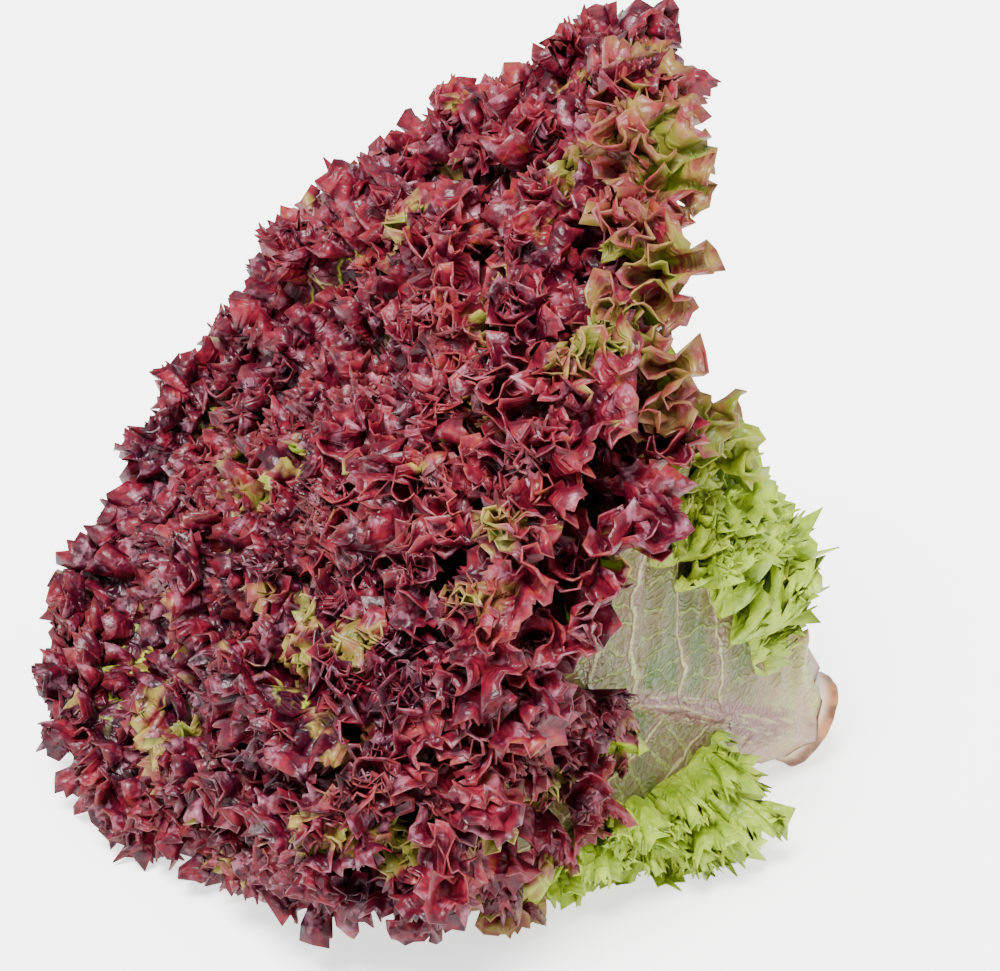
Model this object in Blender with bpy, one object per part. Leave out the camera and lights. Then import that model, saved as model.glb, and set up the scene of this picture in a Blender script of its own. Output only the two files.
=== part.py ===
"""A head of lollo rosso lettuce, picked and lying on its side.

The head is a short stem with leaves set round it in a spiral. Each leaf lies on its own bowl-shaped
shell, so the leaves nest without touching. The head's axis leans up from the trimmed stem end, and
the crown faces -X. The head rests on a small flat on the stem and on its lowest outer leaves.
Metres, +Z up. The origin is the middle of the stem's flat.
"""

import math

import bmesh
import bpy
import numpy as np
from mathutils import Matrix, Vector

# The lie of the head.
AXIS_LIFT = math.radians(32.5)  # how far the head's axis rises from the floor, stem to crown
FLOOR_SQUASH = 0.12  # how far the floor flattens the head's underside
SQUASH_FROM, SQUASH_TO = 0.050, 0.150  # along the axis
FLOOR_SPREAD = (0.95, 0.30)  # how far it spreads it sideways, beside the stem and at the tips
SPREAD_FROM, SPREAD_FULL, SPREAD_TIPS = 0.017, 0.042, 0.120  # away from the axis
BACK_SPREAD = 0.40  # the share of that on the head's +Y side

# The stem.
STEM_RADIUS = 0.0150
STEM_TIP_RADIUS = 0.0052
STEM_LENGTH = 0.050
STEM_SIDES = 28
STEM_BEVEL = 0.0006
STEM_TIP_BEVEL = 0.0015
STEM_FLAT_DEPTH = 0.0020  # how much the resting flat takes off the lowest edge of the cut
STEM_FLAT_OFFSET = 0.0018  # from the cut's lower edge to the middle of the flat, along the floor
PITH_RADIUS = 0.0070
PITH_RIM = 0.0020
PITH_DEPTH = 0.0008

# The spiral of leaves, counted from the outermost, which has index 0.
LEAF_COUNT = 28
SPIRAL_STEP = math.radians(137.508)
FIRST_LEAF_AT = math.radians(100.0)  # 0 is the top of the head, 90 degrees its -Y side
LEAF_TURN = {0: -0.03, 1: -0.14, 6: -0.08, 7: 0.09}  # of single leaves, away from the spiral
STRAY_TURN = 0.04
LOWEST_LEAF_BASE = 0.0062  # along the axis, from the cut
LEAF_BASE_STEP = 0.00150
BASE_CLEARANCE = 0.0005
FIRST_SEED = 100

# Each shell, from the outermost leaf to the innermost.
BASE_FLARE = (math.radians(28.0), math.radians(7.0))  # angle to the axis at the leaf's base
TIP_FLARE = (math.radians(61.0), math.radians(1.0))  # and at its tip
FLARE_POWER = 1.5
SHELL_STATIONS = 120

# The leaf's flat outline, from the outermost leaf to the innermost.
LEAF_LENGTH = (0.200, 0.128)
LENGTH_POWER = 1.25
LENGTH_CHANCE = 0.03
UPRIGHT_LENGTH = 0.10  # how much longer the top and bottom leaves are than those at the sides
LEAF_GROWTH = {0: 0.90, 3: 0.88, 4: 0.97, 6: 1.05, 7: 0.98}  # of single leaves, in length
LEAF_HALF_WIDTH = (0.094, 0.032)
HALF_WIDTH_POWER = 0.8
BASE_HALF_WIDTH = 0.0102
WIDEST_AT = 0.66  # share of the leaf's length
WIDENING_POWER = 1.3
TIP_ROUNDNESS = 2.5  # 2 is an ellipse, more is squarer
RIB_SHARE = 0.80  # share of the leaf's length that its midrib reaches
RIB_POWER = 1.1
MARGIN_SAMPLES = 160

# How the leaf wraps round the head.
BASE_WRAP = (math.radians(85.0), math.radians(48.0))  # furthest at the base, outer and inner leaf
INNER_FROM = 0.4  # share of the way in, from which a leaf counts as inner
WIDEST_WRAP = math.radians(54.0)  # furthest at the blade
BASE_WRAP_ENDS_AT = 0.110  # along the leaf
LIMIT_POWER = 5
SPIRAL_TWIST = 0.012  # each leaf's one edge lies outward and its other inward, by its distance

# The blade.
BLADE_THICKNESS = 0.0010
RIB_THICKNESS = (0.0024, 0.0010)
OUTER_RIB_THICKNESS = 0.0046
OUTER_LEAVES = 3
RIB_FADES_AT = 0.9  # share of the leaf's length
RIB_REACH = 0.5  # share of the way from midrib to margin
ROWS = (0.0, 0.30, 0.64, 1.0)  # from midrib to margin
GREEN_ROWS = 2  # rows of faces on each side of the midrib that are green

# The frilled margin.
MARGIN_STEP = 0.0125  # between the frill's folds, along the margin
FRILL_HEIGHT = 0.0060
LOWEST_VIGOUR = 0.65  # the smallest fold's share of that height
FRILL_POWER = 1.8
FRILL_FULL_AT = 0.170  # along the leaf
TOOTH = 0.045  # how far a fold stands out of the margin, as a share of the blade's width
TOOTH_FROM = 0.7  # share of the way from midrib to margin
TOOTH_FULL_AT = 0.1  # share of the way along the margin, from base to tip
OUTER_CURL = 0.0090  # how far the free margins bend outward
CURL_POWER = 4
CURLED_EDGES = ((0, -1), (0, 1), (1, -1), (1, 1), (2, -1))  # leaf and side, none outside them

# The heart, the bud of the youngest leaves.
HEART_RADIUS = 0.0080
HEART_FOOT = 0.55  # share of that radius at the heart's foot
HEART_SWELL_POWER = 0.8
HEART_TIP_POWER = 6
HEART_LENGTH = 0.118
HEART_FOLDS = 7
FOLD_TWIST = 2.5
FOLD_DEPTH = 0.26
HEART_SIDES = 42
HEART_RINGS = 12
HEART_GAP = 0.0004

WELD = 1e-6
AXIS = Vector((-math.cos(AXIS_LIFT), 0.0, math.sin(AXIS_LIFT)))
TOPWARD = Vector((math.sin(AXIS_LIFT), 0.0, math.cos(AXIS_LIFT)))
SIDEWARD = Vector((0.0, -1.0, 0.0))
CUT_CENTRE = Vector(
    (
        STEM_RADIUS * math.sin(AXIS_LIFT) + STEM_FLAT_OFFSET,
        0.0,
        STEM_RADIUS * math.cos(AXIS_LIFT) - STEM_FLAT_DEPTH,
    )
)


def clear_scene():
    for obj in list(bpy.data.objects):
        bpy.data.objects.remove(obj)


def make_material(name, colour, roughness):
    material = bpy.data.materials.new(name)
    material.use_nodes = True
    shader = material.node_tree.nodes["Principled BSDF"]
    shader.inputs["Base Color"].default_value = (*colour, 1.0)
    shader.inputs["Roughness"].default_value = roughness
    shader.inputs["Metallic"].default_value = 0.0
    return material


def between(ends, share):
    return ends[0] + (ends[1] - ends[0]) * share


def smoothstep(x):
    x = np.clip(x, 0.0, 1.0)
    return x * x * (3.0 - 2.0 * x)


def ramp(x, start, end):
    """0 up to start, 1 from end on, and smooth between the two."""
    return smoothstep((x - start) / (end - start))


def eased_limit(x):
    """x where it is small, and towards 1 or -1 where it is large."""
    return x / (1.0 + np.abs(x) ** LIMIT_POWER) ** (1.0 / LIMIT_POWER)


def stem_radius_at(along):
    return between((STEM_RADIUS, STEM_TIP_RADIUS), along / STEM_LENGTH)


def head_points(radius, azimuth, along):
    """World points of head coordinates: distance from the axis, angle round it, distance along it.

    The floor flattens the head's underside and spreads it sideways, mostly towards -Y.
    """
    pressed = smoothstep(-np.cos(azimuth))
    squash = FLOOR_SQUASH * pressed * ramp(along, SQUASH_FROM, SQUASH_TO)
    spread = pressed * ramp(radius, SPREAD_FROM, SPREAD_FULL)
    spread = spread * between(FLOOR_SPREAD, ramp(radius, SPREAD_FULL, SPREAD_TIPS))
    spread = spread * between((BACK_SPREAD, 1.0), ramp(np.sin(azimuth), -1.0, 1.0))
    up = radius * np.cos(azimuth) * (1.0 - squash)
    sideways = radius * np.sin(azimuth) * (1.0 + spread)
    return (
        np.array(CUT_CENTRE)
        + along[:, None] * np.array(AXIS)
        + up[:, None] * np.array(TOPWARD)
        + sideways[:, None] * np.array(SIDEWARD)
    )


class Leaf:
    """The measures of one leaf, from its place in the spiral."""

    def __init__(self, index):
        self.chance = np.random.default_rng(FIRST_SEED + index)
        self.depth = index / (LEAF_COUNT - 1)
        self.azimuth = FIRST_LEAF_AT + index * SPIRAL_STEP + LEAF_TURN.get(index, 0.0)
        self.azimuth += self.chance.uniform(-STRAY_TURN, STRAY_TURN)
        self.length = between(LEAF_LENGTH, self.depth**LENGTH_POWER) * LEAF_GROWTH.get(index, 1.0)
        self.length *= self.chance.uniform(1.0 - LENGTH_CHANCE, 1.0 + LENGTH_CHANCE)
        upright = math.cos(self.azimuth) ** 2
        self.length *= 1.0 + UPRIGHT_LENGTH * upright * (1.0 - self.depth) ** 2
        self.half_width = between(LEAF_HALF_WIDTH, self.depth**HALF_WIDTH_POWER)
        self.base_wrap = between(BASE_WRAP, smoothstep(self.depth / INNER_FROM))
        self.base_along = LOWEST_LEAF_BASE + index * LEAF_BASE_STEP
        self.rib_thickness = between(RIB_THICKNESS, self.depth)
        if index < OUTER_LEAVES:
            self.rib_thickness = OUTER_RIB_THICKNESS
        self.curled_sides = [side for leaf, side in CURLED_EDGES if leaf == index]
        self.trace_shell()
        self.trace_margin()

    def trace_shell(self):
        """The shell's profile: distance from the axis and along it, at stations along the leaf."""
        self.stations = np.linspace(0.0, self.length, SHELL_STATIONS)
        share = self.stations / self.length
        base, tip = between(BASE_FLARE, self.depth), between(TIP_FLARE, self.depth)
        self.flare = base + (tip - base) * share**FLARE_POWER
        step = self.stations[1]
        start = stem_radius_at(self.base_along) + BASE_CLEARANCE
        self.radii = start + step * np.concatenate([[0.0], np.cumsum(np.sin(self.flare[:-1]))])
        self.alongs = self.base_along + step * np.concatenate(
            [[0.0], np.cumsum(np.cos(self.flare[:-1]))]
        )

    def half_width_at(self, share):
        """The flat leaf's half width: a stalk that widens to a broad round blade."""
        lower = np.sin(0.5 * math.pi * np.minimum(share / WIDEST_AT, 1.0)) ** WIDENING_POWER
        upper = np.clip((share - WIDEST_AT) / (1.0 - WIDEST_AT), 0.0, 1.0)
        widening = BASE_HALF_WIDTH + (self.half_width - BASE_HALF_WIDTH) * lower
        return widening * (1.0 - upper**TIP_ROUNDNESS) ** (1.0 / TIP_ROUNDNESS)

    def trace_margin(self):
        """The flat outline of one half of the leaf, from its base to its tip, by length along it."""
        turn = np.linspace(0.0, 0.5 * math.pi, MARGIN_SAMPLES)
        lower = np.linspace(0.0, WIDEST_AT, MARGIN_SAMPLES)
        share = np.concatenate([lower, WIDEST_AT + (1.0 - WIDEST_AT) * np.sin(turn)])
        self.margin_x = self.half_width_at(share)
        self.margin_s = share * self.length
        steps = np.hypot(np.diff(self.margin_x), np.diff(self.margin_s))
        run = np.concatenate([[0.0], np.cumsum(steps)])
        self.margin_run = run / run[-1]
        self.columns = 2 * round(run[-1] / MARGIN_STEP)


def leaf_points(leaf, across, out):
    """World points of a leaf's inner face, and how thick the blade is there.

    across runs from 0 to 1 along the whole margin, from one side of the base to the other, and out
    from 0 on the midrib to 1 on the margin.
    """
    side = np.where(across < 0.5, -1, 1)
    up = 1.0 - np.abs(2.0 * across - 1.0)
    column = np.round(across * leaf.columns).astype(int)
    fold = np.where(column % 2 == 0, 1.0, -1.0)
    vigour = leaf.chance.uniform(LOWEST_VIGOUR, 1.0, leaf.columns + 1)[column]
    tooth = TOOTH * fold * ramp(out, TOOTH_FROM, 1.0) * smoothstep(up / TOOTH_FULL_AT)
    reach = out * (1.0 + tooth)

    rib_s = RIB_SHARE * leaf.length * up**RIB_POWER
    margin_x = np.interp(up, leaf.margin_run, leaf.margin_x)
    margin_s = np.interp(up, leaf.margin_run, leaf.margin_s)
    lateral = side * reach * margin_x
    station = np.clip(rib_s + reach * (margin_s - rib_s), 0.0, leaf.length)

    radius = np.interp(station, leaf.stations, leaf.radii)
    along = np.interp(station, leaf.stations, leaf.alongs)
    flare = np.interp(station, leaf.stations, leaf.flare)
    widest = between((leaf.base_wrap, WIDEST_WRAP), smoothstep(station / BASE_WRAP_ENDS_AT))
    wrap = widest * eased_limit(lateral / radius / widest)

    full = np.clip(station / FRILL_FULL_AT, 0.0, 1.0)
    lift = fold * vigour * FRILL_HEIGHT * full * out**FRILL_POWER
    lift = lift - SPIRAL_TWIST * station * np.sin(wrap)
    lift = lift + OUTER_CURL * full * out**CURL_POWER * np.isin(side, leaf.curled_sides)
    points = head_points(
        radius + lift * np.cos(flare), leaf.azimuth + wrap, along - lift * np.sin(flare)
    )
    points[:, 2] = np.maximum(points[:, 2], BLADE_THICKNESS)

    ribbed = 1.0 - smoothstep(station / (RIB_FADES_AT * leaf.length))
    ribbed = ribbed * (1.0 - smoothstep(out / RIB_REACH))
    return points, BLADE_THICKNESS + (leaf.rib_thickness - BLADE_THICKNESS) * ribbed


def face_outward(bm):
    """Turns an open blade's faces so that their normals point away from the head's axis."""
    bm.normal_update()
    face = bm.faces[:][0]
    from_cut = face.calc_center_median() - CUT_CENTRE
    if face.normal.dot(from_cut - from_cut.dot(AXIS) * AXIS) < 0.0:
        bmesh.ops.reverse_faces(bm, faces=bm.faces)


def make_leaf(index, materials):
    """One leaf: a grid folded along its midrib, laid on its shell, with its margin in folds."""
    leaf = Leaf(index)
    rows = len(ROWS) - 1
    bm = bmesh.new()
    bmesh.ops.create_grid(bm, x_segments=leaf.columns, y_segments=rows, size=0.5)
    flat = np.array([v.co for v in bm.verts])
    out = np.interp(flat[:, 1] + 0.5, np.linspace(0.0, 1.0, rows + 1), ROWS)
    points, thickness = leaf_points(leaf, flat[:, 0] + 0.5, out)
    for face in bm.faces:
        row = int((face.calc_center_median().y + 0.5) * rows)
        face.material_index = 0 if row < GREEN_ROWS else 1
    weight = bm.verts.layers.deform.verify()
    for vertex, point, thick in zip(bm.verts, points, thickness):
        vertex.co = point
        vertex[weight][0] = thick / OUTER_RIB_THICKNESS
    bmesh.ops.remove_doubles(bm, verts=bm.verts, dist=WELD)
    bmesh.ops.triangulate(bm, faces=bm.faces)
    face_outward(bm)

    name = f"leaf_{index + 1:02d}"
    mesh = bpy.data.meshes.new(name)
    bm.to_mesh(mesh)
    bm.free()
    obj = bpy.data.objects.new(name, mesh)
    bpy.context.collection.objects.link(obj)
    for material in materials:
        mesh.materials.append(material)
    obj.vertex_groups.new(name="thickness")
    solidify = obj.modifiers.new("thickness", "SOLIDIFY")
    solidify.thickness = OUTER_RIB_THICKNESS
    solidify.offset = 1.0
    solidify.vertex_group = "thickness"


def turned(profile, sides):
    """A closed body turned from (radius, along) points round +Z."""
    bm = bmesh.new()
    line = [bm.verts.new((radius, 0.0, along)) for radius, along in profile]
    edges = [bm.edges.new(pair) for pair in zip(line, line[1:])]
    bmesh.ops.spin(
        bm,
        geom=line + edges,
        cent=(0.0, 0.0, 0.0),
        axis=(0.0, 0.0, 1.0),
        angle=2.0 * math.pi,
        steps=sides,
        use_merge=True,
    )
    bmesh.ops.remove_doubles(bm, verts=bm.verts, dist=WELD)
    return bm


def lay_along_axis(bm):
    """Lays a body that stands on +Z along the head's axis, with its faces outward."""
    turn = Matrix((TOPWARD, SIDEWARD, AXIS)).transposed().to_4x4()
    bmesh.ops.transform(bm, matrix=Matrix.Translation(CUT_CENTRE) @ turn, verts=bm.verts)
    bmesh.ops.recalc_face_normals(bm, faces=bm.faces)


def place_body(name, bm, material):
    mesh = bpy.data.meshes.new(name)
    bm.to_mesh(mesh)
    bm.free()
    mesh.materials.append(material)
    bpy.context.collection.objects.link(bpy.data.objects.new(name, mesh))


def make_stem(material):
    """The trimmed stem, with its pith a little sunk in the cut and a flat where it rests."""
    profile = [
        (0.0, PITH_DEPTH),
        (PITH_RADIUS, PITH_DEPTH),
        (PITH_RADIUS + PITH_RIM, 0.0),
        (STEM_RADIUS - STEM_BEVEL, 0.0),
        (STEM_RADIUS, STEM_BEVEL),
        (stem_radius_at(STEM_LENGTH * 0.5), STEM_LENGTH * 0.5),
        (STEM_TIP_RADIUS, STEM_LENGTH - STEM_TIP_BEVEL),
        (STEM_TIP_RADIUS - STEM_TIP_BEVEL, STEM_LENGTH),
        (0.0, STEM_LENGTH),
    ]
    bm = turned(profile, STEM_SIDES)
    lay_along_axis(bm)
    geometry = bm.verts[:] + bm.edges[:] + bm.faces[:]
    cut = bmesh.ops.bisect_plane(
        bm, geom=geometry, plane_co=(0.0, 0.0, 0.0), plane_no=(0.0, 0.0, 1.0), clear_inner=True
    )
    rim = [piece for piece in cut["geom_cut"] if isinstance(piece, bmesh.types.BMEdge)]
    bmesh.ops.edgenet_fill(bm, edges=rim)
    bmesh.ops.recalc_face_normals(bm, faces=bm.faces)
    place_body("stem", bm, material)


def make_heart(material):
    """The bud of the youngest leaves: a slim body whose folds deepen towards its ruffled tip."""
    share = np.linspace(0.0, 1.0, HEART_RINGS)
    swell = HEART_FOOT + (1.0 - HEART_FOOT) * share**HEART_SWELL_POWER
    radii = HEART_RADIUS * swell * np.sqrt(1.0 - share**HEART_TIP_POWER)
    start = STEM_LENGTH + HEART_GAP
    profile = [(0.0, start)]
    profile += [(r, start + s * HEART_LENGTH) for r, s in zip(radii[:-1], share[:-1])]
    profile += [(0.0, start + HEART_LENGTH)]
    bm = turned(profile, HEART_SIDES)
    for vertex in bm.verts:
        height = (vertex.co.z - start) / HEART_LENGTH
        angle = math.atan2(vertex.co.y, vertex.co.x)
        fold = math.cos(HEART_FOLDS * angle + FOLD_TWIST * height)
        widen = 1.0 + FOLD_DEPTH * smoothstep(height) * fold
        vertex.co.x *= widen
        vertex.co.y *= widen
    lay_along_axis(bm)
    place_body("heart", bm, material)


def main():
    clear_scene()
    stem_cream = make_material("stem cream", (0.72, 0.62, 0.46), 0.5)
    leaf_green = make_material("leaf green", (0.33, 0.42, 0.11), 0.45)
    frill_red = make_material("frill red", (0.16, 0.018, 0.035), 0.35)
    make_stem(stem_cream)
    for index in range(LEAF_COUNT):
        make_leaf(index, (leaf_green, frill_red))
    make_heart(leaf_green)


main()
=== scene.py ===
"""The finish of a lollo rosso lettuce: its stem, its frilled leaves and its heart, on a pale floor."""

import math

import bmesh
import bpy
import numpy as np
from mathutils import Matrix, Vector


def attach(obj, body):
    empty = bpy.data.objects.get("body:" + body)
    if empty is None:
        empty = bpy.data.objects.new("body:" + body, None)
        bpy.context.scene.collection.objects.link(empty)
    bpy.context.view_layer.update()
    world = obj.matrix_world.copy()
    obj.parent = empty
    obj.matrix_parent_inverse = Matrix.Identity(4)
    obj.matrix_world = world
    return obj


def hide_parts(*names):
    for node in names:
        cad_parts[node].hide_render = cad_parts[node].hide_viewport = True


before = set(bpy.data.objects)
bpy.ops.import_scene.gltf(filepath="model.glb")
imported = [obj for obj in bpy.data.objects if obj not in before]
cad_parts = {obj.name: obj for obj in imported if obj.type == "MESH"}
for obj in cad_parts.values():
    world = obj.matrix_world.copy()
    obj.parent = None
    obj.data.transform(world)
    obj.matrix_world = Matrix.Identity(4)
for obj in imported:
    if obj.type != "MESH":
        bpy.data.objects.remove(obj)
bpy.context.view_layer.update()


# The trimmed stem.
# The real piece is the short fleshy core that carries all the leaves, cut across with a knife when the head
# was picked. The cut has dried brown round its rim. It is turned from its profile, then roughened a little.

AXIS_LIFT = math.radians(32.5)
STEM_RADIUS = 0.0150
STEM_TIP_RADIUS = 0.0052
STEM_LENGTH = 0.050
STEM_FLAT_DEPTH = 0.0020
STEM_FLAT_OFFSET = 0.0018
STEM_SIDES = 120
MERGED_WITHIN = 1e-6
STEM_RINGS = 26
CUT_RINGS = 14
CUT_DISH = 0.0007
CUT_ROUNDING = 0.0007
DISH_SHARE = 0.9  # of the cut's radius
STEM_WAVES = ((3, 0.00035), (7, 0.00018), (17, 0.00010))  # count round it, height
STEM_INSET = 0.0006  # keeps the waves inside the frame's stem
FLESH = (0.50, 0.39, 0.28)
FLESH_DEEP = (0.40, 0.32, 0.17)
BROWNED = (0.075, 0.022, 0.007)
DRIED = (0.27, 0.095, 0.020)

AXIS = Vector((-math.cos(AXIS_LIFT), 0.0, math.sin(AXIS_LIFT)))
TOPWARD = Vector((math.sin(AXIS_LIFT), 0.0, math.cos(AXIS_LIFT)))
SIDEWARD = Vector((0.0, -1.0, 0.0))
CUT_CENTRE = Vector(
    (
        STEM_RADIUS * math.sin(AXIS_LIFT) + STEM_FLAT_OFFSET,
        0.0,
        STEM_RADIUS * math.cos(AXIS_LIFT) - STEM_FLAT_DEPTH,
    )
)


def between(ends, share):
    return ends[0] + (ends[1] - ends[0]) * share


def smoothstep(x):
    x = np.clip(x, 0.0, 1.0)
    return x * x * (3.0 - 2.0 * x)


class Wire:
    """A value that runs through a material's nodes. Sums with it add Math nodes."""

    def __init__(self, finish, socket):
        self.finish = finish
        self.socket = socket

    def __add__(self, other):
        return self.finish.maths("ADD", self, other)

    __radd__ = __add__

    def __sub__(self, other):
        return self.finish.maths("SUBTRACT", self, other)

    def __rsub__(self, other):
        return self.finish.maths("SUBTRACT", other, self)

    def __mul__(self, other):
        return self.finish.maths("MULTIPLY", self, other)

    __rmul__ = __mul__

class Finish:
    """A material, and the nodes that work out its look."""

    def __init__(self, name):
        self.material = bpy.data.materials.new(name)
        self.material.use_nodes = True
        self.tree = self.material.node_tree
        self.shader = self.tree.nodes["Principled BSDF"]

    def node(self, kind, settings=None, values=None, output=0):
        """Adds a node: first its settings, then the values or links of its sockets."""
        made = self.tree.nodes.new(kind)
        for name, value in (settings or {}).items():
            if name == "stops":
                self.set_stops(made.color_ramp, value)
            else:
                setattr(made, name, value)
        for socket, value in (values or {}).items():
            self.feed(made.inputs[socket], value)
        return Wire(self, made.outputs[output])

    def set_stops(self, ramp_of_colours, stops):
        while len(ramp_of_colours.elements) < len(stops):
            ramp_of_colours.elements.new(1.0)
        for element, (position, colour) in zip(ramp_of_colours.elements, stops):
            element.position = position
            element.color = (*colour, 1.0)

    def feed(self, socket, value):
        if isinstance(value, Wire):
            self.tree.links.new(value.socket, socket)
        elif isinstance(value, tuple) and len(value) == 3 and socket.type == "RGBA":
            socket.default_value = (*value, 1.0)
        else:
            socket.default_value = value

    def maths(self, operation, first, second=0.0):
        return self.node("ShaderNodeMath", {"operation": operation}, {0: first, 1: second})

    def vector_maths(self, operation, *vectors):
        return self.node("ShaderNodeVectorMath", {"operation": operation}, dict(enumerate(vectors)))

    def axis_of(self, vector, axis):
        """One of the three numbers of a vector."""
        return self.node("ShaderNodeSeparateXYZ", {}, {0: vector}, output=axis)

    def clamped(self, value, low, high):
        """0 where value is at most low, 1 where it is at least high, and smooth between."""
        settings = {"interpolation_type": "SMOOTHSTEP"}
        return self.node("ShaderNodeMapRange", settings, {0: value, 1: low, 2: high, 3: 0.0, 4: 1.0})

    def mixed(self, share, first, second):
        values = {0: share, 6: first, 7: second}
        return self.node("ShaderNodeMix", {"data_type": "RGBA"}, values, output=2)

    def mixed_shaders(self, share, first, second):
        return self.node("ShaderNodeMixShader", {}, {0: share, 1: first, 2: second})

    def place(self):
        return self.node("ShaderNodeTexCoord", output=3)

    def attribute(self, name):
        return self.node("ShaderNodeAttribute", {"attribute_name": name}, output=2)

    def noise(self, at, scale, detail=2.0, roughness=0.5):
        values = {"Vector": at, "Scale": scale, "Detail": detail, "Roughness": roughness}
        return self.node("ShaderNodeTexNoise", {}, values)

    def bump(self, height, distance, strength):
        values = {"Height": height, "Distance": distance, "Strength": strength}
        return self.node("ShaderNodeBump", {}, values)

    def finish(self, sockets):
        """Sets the shader's own sockets by their names."""
        for name, value in sockets.items():
            self.feed(self.shader.inputs[name], value)
        return self.material


def stem_radius_at(along):
    return between((STEM_RADIUS, STEM_TIP_RADIUS), along / STEM_LENGTH)


def lay_along_axis(bm):
    """Lays a body that stands on +Z along the head's axis, and flattens what would go under the floor."""
    turn = Matrix((TOPWARD, SIDEWARD, AXIS)).transposed().to_4x4()
    bmesh.ops.transform(bm, matrix=Matrix.Translation(CUT_CENTRE) @ turn, verts=bm.verts)
    for vertex in bm.verts:
        vertex.co.z = max(vertex.co.z, 0.0)
    bmesh.ops.recalc_face_normals(bm, faces=bm.faces)


def add_piece(name, bm, materials, node):
    """Makes a bmesh a piece that stands for a node of the frame."""
    mesh = bpy.data.meshes.new(name)
    bm.to_mesh(mesh)
    bm.free()
    mesh.shade_smooth()
    for material in materials:
        mesh.materials.append(material)
    piece = bpy.data.objects.new(name, mesh)
    bpy.context.collection.objects.link(piece)
    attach(piece, "root")
    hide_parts(node)
    return piece


def stem_finish():
    """Pale flesh with a browned rim, from the distances to the axis and to the cut."""
    look = Finish("cut_stem")
    at = look.place()
    across = look.attribute("across_cut")
    along = look.attribute("from_cut")
    grain = look.noise(at, 420.0, 3.0)
    patches = look.noise(at, 120.0, 4.0, 0.6)
    pith = look.clamped(across + (grain - 0.5) * 0.12, 0.40, 0.56)
    colour = look.mixed(pith, FLESH_DEEP, FLESH)
    ring = look.clamped(across + (patches - 0.5) * 0.45, 0.55, 0.84)
    near_cut = 1.0 - look.clamped(along + (patches - 0.5) * 5.0, 1.6, 5.5)
    colour = look.mixed(ring * near_cut * 0.95, colour, DRIED)
    rim = look.clamped(across + (patches - 0.5) * 0.40, 0.76, 0.96) * near_cut
    colour = look.mixed(rim * look.clamped(patches, 0.36, 0.60), colour, BROWNED)
    height = grain * 0.5 + patches
    return look.finish(
        {
            "Base Color": colour,
            "Roughness": 0.42 + patches * 0.25,
            "Normal": look.bump(height, 0.0006, 0.6),
        }
    )


def make_stem():
    """Turned from its profile: the dished cut first, then the cone inside the leaves."""
    profile = []
    for ring in range(CUT_RINGS):
        share = ring / CUT_RINGS
        dish = CUT_DISH * (1.0 - smoothstep(share / DISH_SHARE))
        profile.append(((STEM_RADIUS - CUT_ROUNDING) * share, dish))
    for turn in (0.0, 30.0, 60.0, 90.0):
        angle = math.radians(turn)
        radius = STEM_RADIUS - CUT_ROUNDING * (1.0 - math.sin(angle))
        profile.append((radius, CUT_ROUNDING * (1.0 - math.cos(angle))))
    for ring in range(1, STEM_RINGS):
        along = CUT_ROUNDING + (STEM_LENGTH - CUT_ROUNDING) * ring / STEM_RINGS
        profile.append((stem_radius_at(along), along))
    profile.append((0.0, STEM_LENGTH))
    bm = bmesh.new()
    across_cut = bm.verts.layers.float.new("across_cut")
    from_cut = bm.verts.layers.float.new("from_cut")
    line = [bm.verts.new((radius, 0.0, along)) for radius, along in profile]
    edges = [bm.edges.new(pair) for pair in zip(line, line[1:])]
    bmesh.ops.spin(
        bm,
        geom=line + edges,
        cent=(0.0, 0.0, 0.0),
        axis=(0.0, 0.0, 1.0),
        angle=2.0 * math.pi,
        steps=STEM_SIDES,
        use_merge=True,
    )
    bmesh.ops.remove_doubles(bm, verts=bm.verts, dist=MERGED_WITHIN)
    for vertex in bm.verts:
        radius = math.hypot(vertex.co.x, vertex.co.y)
        angle = math.atan2(vertex.co.y, vertex.co.x)
        vertex[across_cut] = radius / STEM_RADIUS
        vertex[from_cut] = vertex.co.z * 1000.0
        swell = sum(height * math.sin(count * angle + count) for count, height in STEM_WAVES)
        share = radius / STEM_RADIUS
        vertex.co.x *= 1.0 - (swell + STEM_INSET) * share / STEM_RADIUS
        vertex.co.y *= 1.0 - (swell + STEM_INSET) * share / STEM_RADIUS
    lay_along_axis(bm)
    add_piece("trimmed_stem", bm, [stem_finish()], "stem")


make_stem()


# The frilled leaves.
# Each real leaf is one thin limp blade on a fleshy rib. Its margin grows so fast that it folds into ruffles,
# cups and teeth. Each is a grid on its own bowl-shaped shell, ruffled in steps, with strips of folded-over
# lobes in the same mesh, which is thinned out and given its thickness.

LEAF_COUNT = 28
SPIRAL_STEP = math.radians(137.508)
FIRST_LEAF_AT = math.radians(100.0)
LEAF_TURN = {0: -0.16, 1: -0.14, 6: -0.08, 7: 0.09}  # leaves turned aside from the spiral, in radians
STRAY_TURN = 0.04
LOWEST_LEAF_BASE = 0.0062
LEAF_BASE_STEP = 0.00150
BASE_CLEARANCE = 0.0005
FIRST_SEED = 100
BASE_FLARE = (math.radians(28.0), math.radians(7.0))
TIP_FLARE = (math.radians(61.0), math.radians(1.0))
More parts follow.
